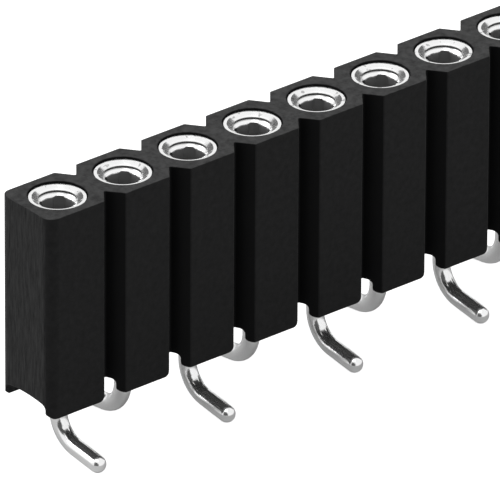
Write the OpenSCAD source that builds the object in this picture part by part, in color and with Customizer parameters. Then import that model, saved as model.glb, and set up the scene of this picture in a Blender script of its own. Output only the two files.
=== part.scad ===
// Surface-mount socket strip: one row of turned sockets in a moulded insulator,
// with the solder tails bent to the front and to the back in turn.
// The row runs along X, the front is -Y, and Z = 0 is the board.

/* [Row] */
// Number of contact positions
positions = 8; // [2:1:12]
// Distance from one contact axis to the next
pitch = 2.54; // [2.4:0.01:2.8]

/* [Insulator] */
// Width of the moulding from front to back
body_w = 2.42; // [2.3:0.01:2.8]
// Height of the moulding, feet included
body_h = 6.85; // [6.4:0.05:9]
// Gap between the feet and the board
standoff = 1.87; // [1.5:0.01:2.2]
// Radius of the four upright corners at the ends of the strip
end_corner_r = 0.35; // [0.1:0.01:0.45]
// Width of a V notch at the face of the moulding
notch_w = 0.85; // [0.6:0.01:0.9]
// Depth of a V notch below the face of the moulding
notch_depth = 0.55; // [0.4:0.01:0.6]
// Edge radius of the notches, at their shoulders and at their root
notch_edge_r = 0.06; // [0.03:0.01:0.1]
// Depth of the lengthwise channel in the underside, at its middle
channel_depth = 0.5; // [0.4:0.01:0.6]
// Radius of the channel's arched ceiling
channel_arch_r = 5.5; // [4:0.5:8]
// Thickness of the foot on each side of the channel
foot_t = 0.25; // [0.2:0.01:0.3]
// Radius on the inner lower edge of the feet
foot_inner_r = 0.04; // [0.02:0.01:0.1]
// Radius of the channel's upper corners
channel_corner_r = 0.18; // [0.1:0.01:0.3]
// Radius on the lower corner of each foot to the left of a notch
foot_right_r = 0.17; // [0.1:0.01:0.2]
// Radius on the lower corner of each foot to the right of a notch
foot_left_r = 0.15; // [0.1:0.01:0.2]
// Radius on the lower corner of the feet at the two ends of the strip
foot_end_r = 0.25; // [0.15:0.01:0.3]

/* [Turned sleeve] */
// Diameter of the sleeve's head
head_d = 1.81; // [1.7:0.01:1.85]
// Height of the sleeve's head
head_h = 0.6; // [0.4:0.05:1]
// Depth of the head below the top of the moulding
head_recess = 0.055; // [0.02:0.005:0.12]
// Edge break around the head
head_edge = 0.02; // [0.01:0.005:0.04]
// Width of the flat ring on top of the head
rim_w = 0.12; // [0.08:0.01:0.14]
// Included angle of the lead-in cone
lead_in_angle = 120; // [100:1:130]
// Diameter of the barrel below the head
barrel_d = 1.5; // [1.46:0.01:1.6]
// Distance from the channel's ceiling up to the lower end of the barrel
barrel_lift = 0.65; // [0.6:0.05:0.9]
// Length of the cone between the barrel and the tail
taper_h = 0.5; // [0.3:0.05:0.5]
// Depth of the socket below the head's rim
socket_depth = 4.6; // [4:0.1:4.8]
// Angle of the drilled point at the bottom of the socket
drill_angle = 118; // [100:1:140]
// Distance of the retaining barb below the head
barb_drop = 1.2; // [0.8:0.1:2]
// Height of the retaining barb
barb_h = 0.3; // [0.2:0.05:0.5]

/* [Tail] */
// Diameter of the tail
tail_d = 0.55; // [0.4:0.01:0.6]
// Radius of the bend, at the tail's centre line
bend_r = 1; // [0.7:0.01:1.05]
// Angle of the bend
bend_angle = 82.9; // [75:0.1:88]
// Straight length from the bend to the centre of the tip's dome
tail_run = 1.05; // [0.9:0.01:1.4]

/* [Spring clip] */
// Thickness of the clip's sheet
clip_t = 0.065; // [0.05:0.005:0.07]
// Inner radius of the clip's collar
collar_ri = 0.62; // [0.59:0.005:0.64]
// Straight height inside the collar
collar_h = 0.075; // [0.04:0.005:0.1]
// Radius inside the fingers where their inward bend ends
finger_ri = 0.535; // [0.5:0.005:0.55]
// Height of the inward bend
finger_bend_h = 0.1; // [0.09:0.005:0.16]
// Diameter of the throat that grips the pin
throat_d = 0.4; // [0.36:0.01:0.44]
// Depth of the throat below the head's rim
throat_depth = 2; // [1.6:0.1:2.4]
// Straight length of the throat
throat_h = 0.5; // [0.4:0.05:0.7]
// Length of the flared finger ends
flare_h = 0.3; // [0.2:0.05:0.4]
// Amount by which the finger ends open
flare = 0.08; // [0.05:0.01:0.1]
// Width of the slots between the fingers, at the collar
slot_w = 0.38; // [0.3:0.01:0.4]
// Width of the slots between the fingers, at the throat
slot_throat_w = 0.1; // [0.06:0.01:0.12]
// Distance from the foot of the collar's straight wall down to the slots
slot_drop = 0.075; // [0.05:0.005:0.1]
// Radius of the two upper corners of a slot
slot_corner_r = 0.1; // [0.05:0.01:0.14]

/* [Clearances] */
// Radial gap between the head and its counterbore
head_gap = 0.025; // [0.02:0.005:0.1]
// Radial gap between the barrel and its bore
barrel_gap = 0.01; // [0.005:0.005:0.02]
// Radial gap between the fingers and the sleeve
finger_gap = 0.003; // [0.002:0.001:0.005]

/* [Hidden] */
$fn = 64;
fine = 0.01;

body_top = standoff + body_h;
ceiling_z = standoff + channel_depth;
rim_z = body_top - head_recess;
row_x0 = -(positions - 1) * pitch / 2;
end_x = positions * pitch / 2;

head_r = head_d / 2;
barrel_r = barrel_d / 2;
bore_r = barrel_r + barrel_gap;
tail_r = tail_d / 2;
barrel_end_z = ceiling_z + barrel_lift;

lead_in_r = head_r - rim_w;
collar_ro = collar_ri + clip_t;
lead_in_slope = 1 / tan(lead_in_angle / 2);
collar_edge_z = rim_z - (lead_in_r - collar_ro) * lead_in_slope;
collar_top_z = rim_z - (lead_in_r - collar_ri) * lead_in_slope;
collar_foot_z = collar_top_z - collar_h;
bend_foot_z = collar_foot_z - finger_bend_h;

// The sheet's outer side lies lower at each bend, so that the thickness stays even
bend_lean = atan((collar_ri - finger_ri) / finger_bend_h);
outer_shift = clip_t * tan(bend_lean / 2);
seat_top_z = collar_foot_z - outer_shift;
seat_foot_z = bend_foot_z - outer_shift;
finger_ro = collar_ro - (collar_ri - finger_ri);
bore_ri = finger_ro + finger_gap;

throat_r = throat_d / 2;
throat_top_z = rim_z - throat_depth;
throat_foot_z = throat_top_z - throat_h;
clip_foot_z = throat_foot_z - flare_h;
slot_top_z = collar_foot_z - slot_drop;
slot_angle = 45;

bend_z = tail_r + tail_run * cos(bend_angle) + bend_r * sin(bend_angle);

function socket_x(i) = row_x0 + (i - 1) * pitch;
function sleeve_name(i) = str("contact_sleeve_", i);
function clip_name(i) = str("contact_clip_", i);
function tail_side(i) = i % 2 == 1 ? -1 : 1;

// Points of an arc about a centre, from one angle to another
function arc(centre, r, from, to, steps = 8) =
    [for (k = [0 : steps])
        let (a = from + (to - from) * k / steps)
        centre + r * [cos(a), sin(a)]];

// A V notch in plan, opening towards -Y, with rounded shoulders and root
module notch_plan() {
    half_angle = atan(notch_w / 2 / notch_depth);
    turn = 90 - half_angle;
    shoulder = notch_edge_r * tan(turn / 2);
    root_y = notch_depth - notch_edge_r / sin(half_angle);
    polygon(concat(
        [[-notch_w / 2 - shoulder, -fine]],
        arc([-notch_w / 2 - shoulder, notch_edge_r], notch_edge_r, -90, -90 + turn, 4),
        arc([0, root_y], notch_edge_r, 180 - half_angle, half_angle, 6),
        arc([notch_w / 2 + shoulder, notch_edge_r], notch_edge_r, -90 - turn, -90, 4),
        [[notch_w / 2 + shoulder, -fine]]));
}

// What a round corner takes off a square one
module corner_waste(r) {
    difference() {
        translate([-fine, -fine]) square(r + fine);
        translate([r, r]) circle(r = r);
    }
}

// The strip in plan: a bar with rounded corners and a pair of notches between cells
module body_plan() {
    difference() {
        square([2 * end_x, body_w], center = true);
        for (sx = [0, 1], sy = [0, 1])
            mirror([sx, 0]) mirror([0, sy])
                translate([-end_x, -body_w / 2]) corner_waste(end_corner_r);
        for (i = [1 : positions - 1], sy = [0, 1])
            mirror([0, sy])
                translate([socket_x(i) + pitch / 2, -body_w / 2]) notch_plan();
    }
}

// Section of the channel under the strip: rounded foot edges, and corners that run
// into an arched ceiling
module channel_section() {
    half_w = body_w / 2 - foot_t;
    corner_x = half_w - channel_corner_r;
    lean = asin(corner_x / (channel_arch_r - channel_corner_r));
    arch_centre = channel_depth - channel_arch_r;
    corner_y = arch_centre + (channel_arch_r - channel_corner_r) * cos(lean);
    polygon(concat(
        [[-half_w - foot_inner_r, -fine]],
        arc([-half_w - foot_inner_r, foot_inner_r], foot_inner_r, -90, 0),
        arc([-corner_x, corner_y], channel_corner_r, 180, 90 + lean),
        arc([0, arch_centre], channel_arch_r, 90 + 0.75 * lean, 90 - 0.75 * lean, 6),
        arc([corner_x, corner_y], channel_corner_r, 90 - lean, 0),
        arc([half_w + foot_inner_r, foot_inner_r], foot_inner_r, 180, 270),
        [[half_w + foot_inner_r, -fine]]));
}

// Section of the relief that rounds the foot corners on both sides of a notch.
// On the right it starts where the notch meets the inner side of the foot.
module foot_relief_section() {
    left_x = -notch_w / 2;
    right_x = notch_w / 2 * (1 - foot_t / notch_depth);
    polygon(concat(
        [[left_x - foot_right_r, -fine]],
        arc([left_x - foot_right_r, foot_right_r], foot_right_r, -90, 0),
        arc([right_x + foot_left_r, foot_left_r], foot_left_r, 180, 270),
        [[right_x + foot_left_r, -fine]]));
}

// A section in X and Z, carried through the moulding from front to back
module across_body(x) {
    translate([x, body_w / 2 + fine, standoff])
        rotate([90, 0, 0])
            linear_extrude(body_w + 2 * fine) children();
}

// The hole for one contact: a counterbore for the head and a bore for the barrel
module contact_hole() {
    seat_z = rim_z - head_h;
    translate([0, 0, standoff]) cylinder(r = bore_r, h = body_h);
    translate([0, 0, seat_z]) cylinder(r = head_r + head_gap, h = body_h);
}

module insulator() {
    color([0.13, 0.13, 0.14])
    difference() {
        translate([0, 0, standoff])
            linear_extrude(body_h) body_plan();
        translate([-end_x - fine, 0, standoff])
            rotate([90, 0, 90])
                linear_extrude(2 * (end_x + fine)) channel_section();
        for (i = [1 : positions - 1])
            across_body(socket_x(i) + pitch / 2) foot_relief_section();
        for (side = [-1, 1])
            across_body(side * end_x) mirror([side > 0 ? 1 : 0, 0]) corner_waste(foot_end_r);
        for (i = [1 : positions])
            translate([socket_x(i), 0, 0]) contact_hole();
    }
}

// The turned body of a contact: head, barbed barrel and the upright part of its tail
module sleeve_turning() {
    barb_z = rim_z - head_h - barb_drop;
    socket_z = rim_z - socket_depth;
    rotate_extrude()
        polygon([
            [0, bend_z],
            [tail_r, bend_z],
            [tail_r, barrel_end_z - taper_h],
            [barrel_r, barrel_end_z],
            [barrel_r, barb_z - barb_h],
            [bore_r, barb_z],
            [barrel_r, barb_z],
            [barrel_r, rim_z - head_h],
            [head_r, rim_z - head_h],
            [head_r, rim_z - head_edge],
            [head_r - head_edge, rim_z],
            [lead_in_r, rim_z],
            [collar_ro, collar_edge_z],
            [collar_ro, seat_top_z],
            [bore_ri, seat_foot_z + (bore_ri - finger_ro) / tan(bend_lean)],
            [bore_ri, socket_z],
            [0, socket_z - bore_ri / tan(drill_angle / 2)]]);
}

// The bend of a tail towards +Y: a ring about the bend's centre, kept between its two ends
module tail_bend() {
    reach = 2 * (bend_r + tail_r);
    intersection() {
        rotate([0, 90, 0]) rotate_extrude() translate([bend_r, 0]) circle(r = tail_r);
        translate([-reach, -reach, -reach])
            cube([2 * reach, 2 * reach, reach]);
        rotate([bend_angle, 0, 0]) translate([-reach, -reach, 0])
            cube([2 * reach, 2 * reach, reach]);
    }
}

// The straight end of a tail with its domed tip
module tail_end() {
    rotate([bend_angle, 0, 0]) translate([0, -bend_r, -tail_run]) {
        cylinder(r = tail_r, h = tail_run);
        sphere(r = tail_r);
    }
}

module contact_sleeve(side) {
    color([0.82, 0.82, 0.83])
    mirror([0, side < 0 ? 1 : 0])
    union() {
        sleeve_turning();
        translate([0, bend_r, bend_z]) {
            tail_bend();
            tail_end();
        }
    }
}

// Section of the clip's sheet, from the collar down to the flared finger ends
module clip_section() {
    taper_lean = atan((finger_ri - throat_r) / (bend_foot_z - throat_top_z));
    taper_t = clip_t / cos(taper_lean);
    flare_t = clip_t / cos(atan(flare / flare_h));
    polygon([
        [collar_ri, collar_top_z],
        [collar_ri, collar_foot_z],
        [finger_ri, bend_foot_z],
        [throat_r, throat_top_z],
        [throat_r, throat_foot_z],
        [throat_r + flare, clip_foot_z],
        [throat_r + flare + flare_t, clip_foot_z],
        [throat_r + taper_t, throat_foot_z],
        [throat_r + taper_t, throat_top_z],
        [finger_ro, seat_foot_z],
        [collar_ro, seat_top_z],
        [collar_ro, collar_edge_z]]);
}

// Outline of one slot, with rounded upper corners and narrowing down to the throat
module slot_outline() {
    corner_x = slot_w / 2 - slot_corner_r;
    corner_z = slot_top_z - slot_corner_r;
    polygon(concat(
        arc([corner_x, corner_z], slot_corner_r, 0, 90, 6),
        arc([-corner_x, corner_z], slot_corner_r, 90, 180, 6),
        [[-slot_throat_w / 2, throat_top_z],
         [-slot_throat_w / 2, clip_foot_z - fine],
         [slot_throat_w / 2, clip_foot_z - fine],
         [slot_throat_w / 2, throat_top_z]]));
}

module contact_clip() {
    color([0.78, 0.76, 0.70])
    difference() {
        rotate_extrude() clip_section();
        for (turn = [0, 90])
            rotate([0, 0, slot_angle + turn])
                rotate([90, 0, 0])
                    linear_extrude(4 * collar_ro, center = true) slot_outline();
    }
}

insulator();
for (i = [1 : positions]) {
    translate([socket_x(i), 0, 0]) contact_sleeve(tail_side(i));
    translate([socket_x(i), 0, 0]) contact_clip();
}
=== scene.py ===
"""Dresses the socket strip: its materials, the camera and a white studio."""
import math

import bpy
from mathutils import Matrix, Vector

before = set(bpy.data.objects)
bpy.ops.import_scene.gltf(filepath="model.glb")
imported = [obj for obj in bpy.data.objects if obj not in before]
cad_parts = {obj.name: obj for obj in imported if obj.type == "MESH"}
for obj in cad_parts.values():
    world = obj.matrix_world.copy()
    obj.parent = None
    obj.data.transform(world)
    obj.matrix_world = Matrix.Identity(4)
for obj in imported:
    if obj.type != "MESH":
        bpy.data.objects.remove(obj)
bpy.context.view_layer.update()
MM = 0.001

# Places on the strip, as in the source
STRIP_END = 10.16 * MM
STRIP_FACE = 1.21 * MM
STRIP_TOP = 8.72 * MM
RIM_TOP = STRIP_TOP - 0.055 * MM
COLLAR_TOP = RIM_TOP - 0.085 * MM
COLLAR_FOOT = RIM_TOP - 0.185 * MM
FINGER_TOP = RIM_TOP - 0.270 * MM
BORE_FOOT = 3.2 * MM

# How far in from the strip's end, front and top a face still counts as there
END_DEPTH = 0.02 * MM
END_CELL_DEPTH = 0.4 * MM
FACE_DEPTH = 0.02 * MM
TOP_DEPTH = 0.01 * MM

# Camera, fitted to the photograph; angles in degrees
CAMERA_TARGET = Vector((-2.9728, -1.9805, 6.0840)) * MM
CAMERA_DISTANCE = 460.466 * MM
CAMERA_AZIMUTH = -39.519
CAMERA_ELEVATION = 27.967
CAMERA_ROLL = 0.267
CAMERA_LENS = 1089.36
SENSOR_WIDTH = 36.0
CLIP_START = 0.01

# Moulding: colours, noise scales and the ranges that each noise drives
MOULDING_DARK = (0.0028, 0.0029, 0.0031, 1)
MOULDING_LIGHT = (0.0046, 0.0047, 0.0050, 1)
MOULDING_CLOUD_SCALE = 900
MOULDING_GRAIN_SCALE = 22000
MOULDING_MOTTLE_SCALE = 5000
END_GRAIN_SCALE = 12000
END_GRAIN_STRETCH = (1.0, 1.0, 0.12)
MOULDING_ROUGHNESS = (0.34, 0.46)
TOP_SHINE = (0.11, 0.35)
SIDE_SHINE = (0.16, 0.23)
END_SHINE = (0.09, 0.38)
# Low specular level on the notch faces, painted as shade in the recesses
NOTCH_PAINTED_SHADE_SHINE = 0.08
NOISE_MIDDLE = (0.3, 0.7)
EDGE_RADIUS = 0.045 * MM
EDGE_SAMPLES = 6
MOULDING_BUMP_STRENGTH = 0.25
MOULDING_BUMP_DEPTH = 0.004 * MM

# Plated metal: colours, noise scales and blends
METAL_CLOUD_SCALE = 1500
METAL_GRAIN_SCALE = 12000
METAL_SPECK_SCALE = 5000
METAL_WAVE_SCALE = 4000
CLOUD_SHADE = 0.93
SPECK_START = 0.66
SPECK_STOP = 0.71
SPECK_LEVEL = 0.5
COLLAR_BLEND = 0.015 * MM
SOCKET_BLEND = 0.04 * MM
SOCKET_ROUGHNESS = 0.6
METALLIC = 0.92
METAL_BUMP_STRENGTH = 1.0
METAL_BUMP_DEPTH = 0.006 * MM
# Plates: own colour, painted shade inside the socket, painted shade on the collar's wall and
# roughness
SLEEVE_PLATE = {"bright": 0.94, "socket_shade": 0.40, "collar": 0.94, "roughness": (0.10, 0.20)}
CLIP_PLATE = {"bright": 0.98, "socket_shade": 0.20, "collar": 0.60, "roughness": (0.16, 0.26)}

# Studio; each glow is for camera rays, for glossy rays and for all others
FLOOR_HALF_SIDE = 1.0
FLOOR_LEVEL = 0.78
FLOOR_ROUGHNESS = 0.9
FLOOR_GLOW = (0.85, 0.0, 0.0)
WORLD_GLOW = (1.0, 1.0, 0.50)
WHITE = (1, 1, 1, 1)

# Lamps: name, place in metres, diameter in metres and power in watts
LAMPS = (
    ("key_light", (-0.16, -0.06, 0.42), 0.30, 0.3),
    ("rear_light", (-0.26, 0.26, 0.26), 0.30, 0.5),
)

# Grey cards: name, two azimuths from the view's direction, two elevations and brightness
VIEW_BACK = 39.5
CARD_DISTANCE = 0.35
CARD_STEPS = 12
CARD_ROWS = 6
CARDS = (
    ("left_card", -50, -17, 8, 38, 0.12),
    ("camera_card", 165, 180, -2, 30, 0.10),
    ("window_card", 180, 225, -2, 44, 0.07),
    ("right_card", 17, 50, 8, 38, 0.12),
)


def grey(level):
    return (level, level, level, 1)


def link_object(name, data):
    thing = bpy.data.objects.new(name, data)
    bpy.context.scene.collection.objects.link(thing)
    return thing


def make_camera():
    azimuth = math.radians(CAMERA_AZIMUTH)
    elevation = math.radians(CAMERA_ELEVATION)
    roll = math.radians(CAMERA_ROLL)
    back = Vector((math.sin(azimuth) * math.cos(elevation),
                   -math.cos(azimuth) * math.cos(elevation),
                   math.sin(elevation)))
    right = Vector((0, 0, 1)).cross(back).normalized()
    up = back.cross(right)
    turned_right = math.cos(roll) * right + math.sin(roll) * up
    turned_up = math.cos(roll) * up - math.sin(roll) * right
    data = bpy.data.cameras.new("camera")
    data.sensor_width = SENSOR_WIDTH
    data.lens = CAMERA_LENS
    data.clip_start = CLIP_START
    camera = link_object("camera", data)
    basis = Matrix((turned_right, turned_up, back)).transposed().to_4x4()
    camera.matrix_world = Matrix.Translation(CAMERA_TARGET + CAMERA_DISTANCE * back) @ basis
    bpy.context.scene.camera = camera


def new_material(name):
    material = bpy.data.materials.new(name)
    material.use_nodes = True
    nodes = material.node_tree.nodes
    links = material.node_tree.links
    return material, nodes, links, nodes["Principled BSDF"]


def noise(nodes, links, coordinates, scale, detail=2.0, roughness=0.5):
    texture = nodes.new("ShaderNodeTexNoise")
    texture.inputs["Scale"].default_value = scale
    texture.inputs["Detail"].default_value = detail
    texture.inputs["Roughness"].default_value = roughness
    links.new(coordinates, texture.inputs["Vector"])
    return texture.outputs["Fac"]


def ranged(nodes, links, value, low, high, start=0.0, stop=1.0):
    """Moves a value from start to stop into low to high."""
    remap = nodes.new("ShaderNodeMapRange")
    remap.inputs["From Min"].default_value = start
    remap.inputs["From Max"].default_value = stop
    remap.inputs["To Min"].default_value = low
    remap.inputs["To Max"].default_value = high
    links.new(value, remap.inputs["Value"])
    return remap.outputs["Result"]


def math_node(nodes, links, operation, value, number=0.0):
    """Takes a linked value, and a second one that is a number or another link."""
    node = nodes.new("ShaderNodeMath")
    node.operation = operation
    links.new(value, node.inputs[0])
    if isinstance(number, float):
        node.inputs[1].default_value = number
    else:
        links.new(number, node.inputs[1])
    return node.outputs[0]


def mixed(nodes, links, kind, factor, first, second):
    """Mixes two inputs, each a link or a fixed value, by a linked factor."""
    mix = nodes.new("ShaderNodeMix")
    mix.data_type = kind
    links.new(factor, mix.inputs["Factor"])
    for socket, value in (("A", first), ("B", second)):
        if isinstance(value, bpy.types.NodeSocket):
            links.new(value, mix.inputs[socket])
        else:
            mix.inputs[socket].default_value = value
    return mix.outputs["Result"]


def between(nodes, links, value, low, high, blend):
    """One between two heights and zero outside them."""
    above = ranged(nodes, links, value, 0.0, 1.0, low - blend, low)
    below = ranged(nodes, links, value, 0.0, 1.0, high, high - blend)
    return math_node(nodes, links, "MULTIPLY", above, below)


def bumped(nodes, links, height, strength, depth):
    bump = nodes.new("ShaderNodeBump")
    bump.inputs["Strength"].default_value = strength
    bump.inputs["Distance"].default_value = depth
    links.new(height, bump.inputs["Height"])
    return bump


def moulding_shine(nodes, links, coordinates):
    """Specular level of the moulding: one range each for top, sides and ends; painted shade in
    notches.
    """
    mottle = noise(nodes, links, coordinates, MOULDING_MOTTLE_SCALE, 3.0, 0.6)
    stretch = nodes.new("ShaderNodeMapping")
    stretch.inputs["Scale"].default_value = END_GRAIN_STRETCH
    links.new(coordinates, stretch.inputs["Vector"])
    grain = noise(nodes, links, stretch.outputs["Vector"], END_GRAIN_SCALE, 4.0, 0.7)
    place = nodes.new("ShaderNodeSeparateXYZ")
    links.new(coordinates, place.inputs["Vector"])
    reach = math_node(nodes, links, "ABSOLUTE", place.outputs["X"])
    depth = math_node(nodes, links, "ABSOLUTE", place.outputs["Y"])
    at_end = math_node(nodes, links, "GREATER_THAN", reach, STRIP_END - END_DEPTH)
    among_cells = math_node(nodes, links, "LESS_THAN", reach, STRIP_END - END_CELL_DEPTH)
    behind_face = math_node(nodes, links, "LESS_THAN", depth, STRIP_FACE - FACE_DEPTH)
    below_top = math_node(nodes, links, "LESS_THAN", place.outputs["Z"], STRIP_TOP - TOP_DEPTH)
    # Notch faces, where a low specular level is painted shade
    notch_shade_mask = math_node(nodes, links, "MULTIPLY", behind_face, below_top)
    notch_shade_mask = math_node(nodes, links, "MULTIPLY", notch_shade_mask, among_cells)
    top = ranged(nodes, links, mottle, *TOP_SHINE, *NOISE_MIDDLE)
    sides = ranged(nodes, links, mottle, *SIDE_SHINE, *NOISE_MIDDLE)
    ends = ranged(nodes, links, grain, *END_SHINE, *NOISE_MIDDLE)
    shine = mixed(nodes, links, "FLOAT", below_top, top, sides)
    # painted shade in the notches
    shine = mixed(nodes, links, "FLOAT", notch_shade_mask, shine, NOTCH_PAINTED_SHADE_SHINE)
    return mixed(nodes, links, "FLOAT", at_end, shine, ends)


def plastic_material():
    """Matte black moulding with softly shaded edges."""
    material, nodes, links, shader = new_material("black_moulding")
    coordinates = nodes.new("ShaderNodeTexCoord").outputs["Object"]
    fine = noise(nodes, links, coordinates, MOULDING_GRAIN_SCALE, 3.0)
    cloud = noise(nodes, links, coordinates, MOULDING_CLOUD_SCALE)
    colour = mixed(nodes, links, "RGBA", cloud, MOULDING_DARK, MOULDING_LIGHT)
    roughness = ranged(nodes, links, fine, *MOULDING_ROUGHNESS)
    shine = moulding_shine(nodes, links, coordinates)
    links.new(colour, shader.inputs["Base Color"])
    links.new(roughness, shader.inputs["Roughness"])
    links.new(shine, shader.inputs["Specular IOR Level"])
    soft_edges = nodes.new("ShaderNodeBevel")
    soft_edges.samples = EDGE_SAMPLES
    soft_edges.inputs["Radius"].default_value = EDGE_RADIUS
    bump = bumped(nodes, links, fine, MOULDING_BUMP_STRENGTH, MOULDING_BUMP_DEPTH)
    links.new(soft_edges.outputs["Normal"], bump.inputs["Normal"])
    links.new(bump.outputs["Normal"], shader.inputs["Normal"])
    return material


def metal_material(name, bright, socket_shade, collar, roughness):
    """Bright plate, with painted shade on the collar's wall and inside the rougher socket below
    it.
    """
    material, nodes, links, shader = new_material(name)
    coordinates = nodes.new("ShaderNodeTexCoord").outputs["Object"]
    place = nodes.new("ShaderNodeSeparateXYZ")
    links.new(coordinates, place.inputs["Vector"])
    height = place.outputs["Z"]
    fine = noise(nodes, links, coordinates, METAL_GRAIN_SCALE)
    cloud = noise(nodes, links, coordinates, METAL_CLOUD_SCALE)
    spots = noise(nodes, links, coordinates, METAL_SPECK_SCALE, 1.0)
    waves = noise(nodes, links, coordinates, METAL_WAVE_SCALE)
    at_head = math_node(nodes, links, "GREATER_THAN", height, COLLAR_FOOT)
    # Masks for the painted shade on the collar's wall and inside the socket
    on_collar = between(nodes, links, height, COLLAR_FOOT, COLLAR_TOP, COLLAR_BLEND)
    in_shaded_socket = between(nodes, links, height, BORE_FOOT, FINGER_TOP, SOCKET_BLEND)
    specks = ranged(nodes, links, spots, 0.0, 1.0, SPECK_START, SPECK_STOP)
    specks = math_node(nodes, links, "MULTIPLY", specks, at_head)
    colour = mixed(nodes, links, "RGBA", cloud, grey(CLOUD_SHADE * bright), grey(bright))
    colour = mixed(nodes, links, "RGBA", specks, colour, grey(SPECK_LEVEL))
    # painted shade on the collar's wall
    colour = mixed(nodes, links, "RGBA", on_collar, colour, grey(collar))
    # painted shade inside the socket; the socket is also given a rougher finish below
    colour = mixed(nodes, links, "RGBA", in_shaded_socket, colour, grey(socket_shade))
    rough = ranged(nodes, links, fine, *roughness)
    rough = mixed(nodes, links, "FLOAT", in_shaded_socket, rough, SOCKET_ROUGHNESS)
    bump = bumped(nodes, links, waves, METAL_BUMP_STRENGTH, METAL_BUMP_DEPTH)
    links.new(colour, shader.inputs["Base Color"])
    links.new(rough, shader.inputs["Roughness"])
    links.new(bump.outputs["Normal"], shader.inputs["Normal"])
    shader.inputs["Metallic"].default_value = METALLIC
    return material


def use_material(node, material):
    node.data.materials.clear()
    node.data.materials.append(material)


def light_path_mix(nodes, links, camera_level, glossy_level, other_level):
    """A number that depends on whether a camera, glossy or other ray arrives."""
    path = nodes.new("ShaderNodeLightPath").outputs
    glossy = math_node(nodes, links, "MAXIMUM", path["Is Glossy Ray"], path["Is Transmission Ray"])
    level = ranged(nodes, links, glossy, other_level, glossy_level)
    return mixed(nodes, links, "FLOAT", path["Is Camera Ray"], level, camera_level)


def make_floor():
    side = FLOOR_HALF_SIDE
    mesh = bpy.data.meshes.new("floor")
    mesh.from_pydata([(-side, -side, 0), (side, -side, 0), (side, side, 0), (-side, side, 0)],
                     [], [(0, 1, 2, 3)])
    floor = link_object("floor", mesh)
    material, nodes, links, shader = new_material("white_floor")
    shader.inputs["Base Color"].default_value = grey(FLOOR_LEVEL)
    shader.inputs["Roughness"].default_value = FLOOR_ROUGHNESS
    shader.inputs["Specular IOR Level"].default_value = 0.0
    glow = nodes.new("ShaderNodeEmission")
    glow.inputs["Color"].default_value = WHITE
    links.new(light_path_mix(nodes, links, *FLOOR_GLOW), glow.inputs["Strength"])
    both = nodes.new("ShaderNodeAddShader")
    links.new(shader.outputs["BSDF"], both.inputs[0])
    links.new(glow.outputs["Emission"], both.inputs[1])
    links.new(both.outputs["Shader"], nodes["Material Output"].inputs["Surface"])
    mesh.materials.append(material)


def make_world():
    world = bpy.data.worlds.new("studio")
    bpy.context.scene.world = world
    world.use_nodes = True
    nodes = world.node_tree.nodes
    links = world.node_tree.links
    background = nodes["Background"]
    background.inputs["Color"].default_value = WHITE
    links.new(light_path_mix(nodes, links, *WORLD_GLOW), background.inputs["Strength"])


def card_mesh(name, azimuths, elevations):
    """Part of a sphere round the strip, between two azimuths and two elevations."""
    verts = []
    for row in range(CARD_ROWS + 1):
        part = row / CARD_ROWS
        elevation = math.radians(elevations[0] + (elevations[1] - elevations[0]) * part)
        for step in range(CARD_STEPS + 1):
            part = step / CARD_STEPS
            azimuth = math.radians(azimuths[0] + (azimuths[1] - azimuths[0]) * part)
            verts.append((CARD_DISTANCE * math.cos(elevation) * math.sin(azimuth),
                          CARD_DISTANCE * math.cos(elevation) * math.cos(azimuth),
                          CARD_DISTANCE * math.sin(elevation)))
    in_row = CARD_STEPS + 1
    faces = []
    for row in range(CARD_ROWS):
        for step in range(CARD_STEPS):
            first = row * in_row + step
            faces.append((first, first + 1, first + in_row + 1, first + in_row))
    mesh = bpy.data.meshes.new(name)
    mesh.from_pydata(verts, [], faces)
    return mesh


def make_card(name, azimuths, elevations, level):
    """A curved grey card that only reflections see, like a flag in a studio."""
    mesh = card_mesh(name, azimuths, elevations)
    card = link_object(name, mesh)
    material, nodes, links, shader = new_material(name)
    nodes.remove(shader)
    glow = nodes.new("ShaderNodeEmission")
    glow.inputs["Color"].default_value = WHITE
    glow.inputs["Strength"].default_value = level
    links.new(glow.outputs["Emission"], nodes["Material Output"].inputs["Surface"])
    mesh.materials.append(material)
    card.visible_camera = False
    card.visible_diffuse = False
    card.visible_shadow = False
    card.visible_transmission = False


def make_lamp(name, position, size, power):
    data = bpy.data.lights.new(name, "AREA")
    data.shape = "DISK"
    data.size = size
    data.energy = power
    lamp = link_object(name, data)
    lamp.location = position
    lamp.rotation_euler = (-lamp.location).to_track_quat("-Z", "Y").to_euler()


make_camera()
bpy.context.scene.view_settings.view_transform = "Standard"
plastic = plastic_material()
sleeve_metal = metal_material("tin_plate", **SLEEVE_PLATE)
clip_metal = metal_material("spring_plate", **CLIP_PLATE)
for node_name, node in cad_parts.items():
    if node_name == "insulator":
        use_material(node, plastic)
    elif "sleeve" in node_name:
        use_material(node, sleeve_metal)
    else:
        use_material(node, clip_metal)
make_floor()
make_world()
for lamp_name, lamp_place, lamp_size, lamp_power in LAMPS:
    make_lamp(lamp_name, lamp_place, lamp_size, lamp_power)
for card_name, left, right, low, high, card_level in CARDS:
    make_card(card_name, (VIEW_BACK + left, VIEW_BACK + right), (low, high), card_level)
